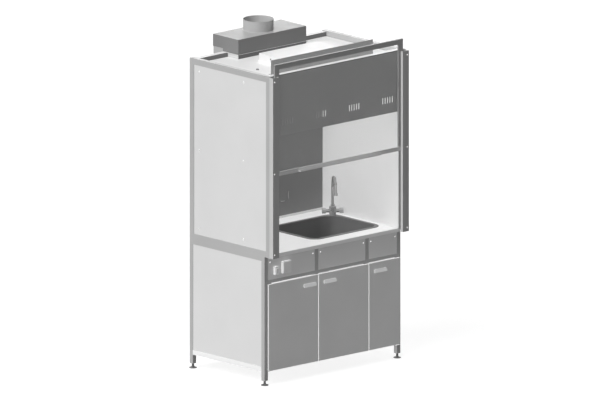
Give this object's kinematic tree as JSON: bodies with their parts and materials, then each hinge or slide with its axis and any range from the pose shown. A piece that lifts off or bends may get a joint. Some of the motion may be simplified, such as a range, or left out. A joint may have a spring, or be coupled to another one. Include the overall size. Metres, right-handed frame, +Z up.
{
  "type": "fume hood",
  "caption": "Free-standing laboratory fume hood: glazed chamber with a counterbalanced vertical sash over a sink worktop and door cabinet, exhaust box and round duct spigot on top.",
  "frame": {"origin": "on the floor, under the middle of the hood's overall width and depth", "axes": "+X to the user's right, +Y from the user to the back, +Z up"},
  "size_m": [1.22, 0.903, 2.235],
  "materials": {
    "frame_grey": "satin powder coat over square steel tube",
    "panel_light": "fine light grey powder coat",
    "panel_white": "fine white powder coat",
    "board_light": "light grey laminate on board",
    "worktop_resin": "pale chemical-resistant resin",
    "wall_grey": "grey compact laminate",
    "fascia_grey": "mid grey powder coat",
    "duct_metal": "grey painted sheet steel",
    "spigot_metal": "rolled galvanised sheet",
    "sink_polymer": "moulded dark grey polypropylene",
    "drain_plastic": "white polypropylene",
    "stainless": "plain stainless",
    "tap_metal": "satin plated brass",
    "knob_grey": "grey moulded plastic",
    "fitting_white": "white moulded plastic",
    "fitting_grey": "pale grey moulded plastic",
    "pull_grey": "grey moulded plastic",
    "sash_aluminium": "satin anodised",
    "glass_clear": "clear toughened glass",
    "weight_iron": "bare cast bar",
    "pulley_plastic": "black nylon",
    "gland_rubber": "black rubber",
    "foot_steel": "zinc plated, dull"
  },
  "bodies": {
    "cabinet": {"base_frame_left": "frame_grey", "base_frame_right": "frame_grey", "base_front_frame": "frame_grey", "base_rear_rails": "frame_grey", "upper_frame_left": "frame_grey", "upper_frame_right": "frame_grey", "jamb_left": "frame_grey", "jamb_right": "frame_grey", "sash_guides": "frame_grey", "top_rails": "panel_light", "exhaust_curb": "panel_light", "base_side_panels": "panel_light", "control_panels": "panel_light", "upper_side_panels": "panel_light", "side_linings": "panel_light", "rear_duct": "panel_light", "base_low_rails": "panel_white", "roof": "panel_white", "header_sheet": "panel_white", "lamp_housing": "panel_white", "cabinet_boards": "board_light", "worktop": "worktop_resin", "back_wall": "wall_grey", "fascia": "fascia_grey", "exhaust_box": "duct_metal", "duct_spigot": "spigot_metal", "sink": "sink_polymer", "sink_trap": "drain_plastic", "sink_strainer": "stainless", "sash_cables": "stainless", "screws": "stainless", "door_pivots": "stainless", "tap_body": "tap_metal", "switch_box": "fitting_white", "socket_box": "fitting_white", "lamp_tubes": "fitting_white", "lamp_pane": "glass_clear", "cable_gland": "gland_rubber"},
    "sash": {"sash_frame": "sash_aluminium", "sash_glass": "glass_clear", "sash_grip": "sash_aluminium"},
    "weight_left": {"weight_left": "weight_iron"},
    "weight_right": {"weight_right": "weight_iron"},
    "pulley_left": {"pulley_left": "pulley_plastic"},
    "pulley_right": {"pulley_right": "pulley_plastic"},
    "door_left": {"door_left": "board_light", "pull_left": "pull_grey"},
    "door_middle": {"door_middle": "board_light", "pull_middle": "pull_grey"},
    "door_right": {"door_right": "board_light", "pull_right": "pull_grey"},
    "switch_rocker": {"switch_rocker": "fitting_grey"},
    "socket_lid": {"socket_lid": "fitting_grey"},
    "tap_spout": {"tap_spout": "tap_metal"},
    "tap_knob_hot": {"tap_knob_hot": "knob_grey"},
    "tap_knob_cold": {"tap_knob_cold": "knob_grey"},
    "foot_front_left": {"foot_front_left": "foot_steel"},
    "foot_front_right": {"foot_front_right": "foot_steel"},
    "foot_rear_left": {"foot_rear_left": "foot_steel"},
    "foot_rear_right": {"foot_rear_right": "foot_steel"}
  },
  "joints": [
    {"name": "sash_slide", "type": "slide", "parent": "cabinet", "child": "sash", "axis": [0, 0, 1], "range_m": [-0.525, 0.245], "deforming": ["sash_cables"]},
    {"name": "weight_left_slide", "type": "slide", "parent": "cabinet", "child": "weight_left", "axis": [0, 0, 1], "range_m": [-0.245, 0.525]},
    {"name": "pulley_left_spin", "type": "hinge", "parent": "cabinet", "child": "pulley_left", "pos_m": [-0.585, -0.41725, 2.035], "axis": [1, 0, 0], "range_deg": [-815, 1745]},
    {"name": "weight_right_slide", "type": "slide", "parent": "cabinet", "child": "weight_right", "axis": [0, 0, 1], "range_m": [-0.245, 0.525]},
    {"name": "pulley_right_spin", "type": "hinge", "parent": "cabinet", "child": "pulley_right", "pos_m": [0.585, -0.41725, 2.035], "axis": [1, 0, 0], "range_deg": [-815, 1745]},
    {"name": "door_left_hinge", "type": "hinge", "parent": "cabinet", "child": "door_left", "pos_m": [-0.5695, -0.379, 0.3865], "axis": [0, 0, -1], "range_deg": [0, 90]},
    {"name": "door_middle_hinge", "type": "hinge", "parent": "cabinet", "child": "door_middle", "pos_m": [0.2925, -0.379, 0.3865], "axis": [0, 0, 1], "range_deg": [0, 90]},
    {"name": "door_right_hinge", "type": "hinge", "parent": "cabinet", "child": "door_right", "pos_m": [0.5695, -0.379, 0.3865], "axis": [0, 0, 1], "range_deg": [0, 90]},
    {"name": "rocker_tilt", "type": "hinge", "parent": "cabinet", "child": "switch_rocker", "pos_m": [-0.506, -0.3895, 0.758], "axis": [1, 0, 0], "range_deg": [-10, 0]},
    {"name": "lid_hinge", "type": "hinge", "parent": "cabinet", "child": "socket_lid", "pos_m": [-0.416, -0.3893, 0.8045], "axis": [-1, 0, 0], "range_deg": [0, 110], "stiffness_Nm_per_rad": 0.02},
    {"name": "spout_swivel", "type": "hinge", "parent": "cabinet", "child": "tap_spout", "pos_m": [0.497, 0.1685, 0.936], "axis": [0, 0, 1], "range_deg": [-120, 50]},
    {"name": "knob_hot_turn", "type": "hinge", "parent": "cabinet", "child": "tap_knob_hot", "pos_m": [0.497, 0.1685, 0.906], "axis": [-0.8192, 0.5736, 0], "range_deg": [0, 360]},
    {"name": "knob_cold_turn", "type": "hinge", "parent": "cabinet", "child": "tap_knob_cold", "pos_m": [0.497, 0.1685, 0.906], "axis": [0.8192, -0.5736, 0], "range_deg": [0, 360]},
    {"name": "level_front_left", "type": "slide", "parent": "cabinet", "child": "foot_front_left", "axis": [0, 0, 1], "range_m": [-0.012, 0.018]},
    {"name": "level_front_right", "type": "slide", "parent": "cabinet", "child": "foot_front_right", "axis": [0, 0, 1], "range_m": [-0.012, 0.018]},
    {"name": "level_rear_left", "type": "slide", "parent": "cabinet", "child": "foot_rear_left", "axis": [0, 0, 1], "range_m": [-0.012, 0.018]},
    {"name": "level_rear_right", "type": "slide", "parent": "cabinet", "child": "foot_rear_right", "axis": [0, 0, 1], "range_m": [-0.012, 0.018]}
  ],
  "couplings": [
    {"joint": "weight_left_slide", "follows": "sash_slide", "ratio": -1},
    {"joint": "pulley_left_spin", "follows": "sash_slide", "rad_per_m": -57.971},
    {"joint": "weight_right_slide", "follows": "sash_slide", "ratio": -1},
    {"joint": "pulley_right_spin", "follows": "sash_slide", "rad_per_m": -57.971}
  ]
}
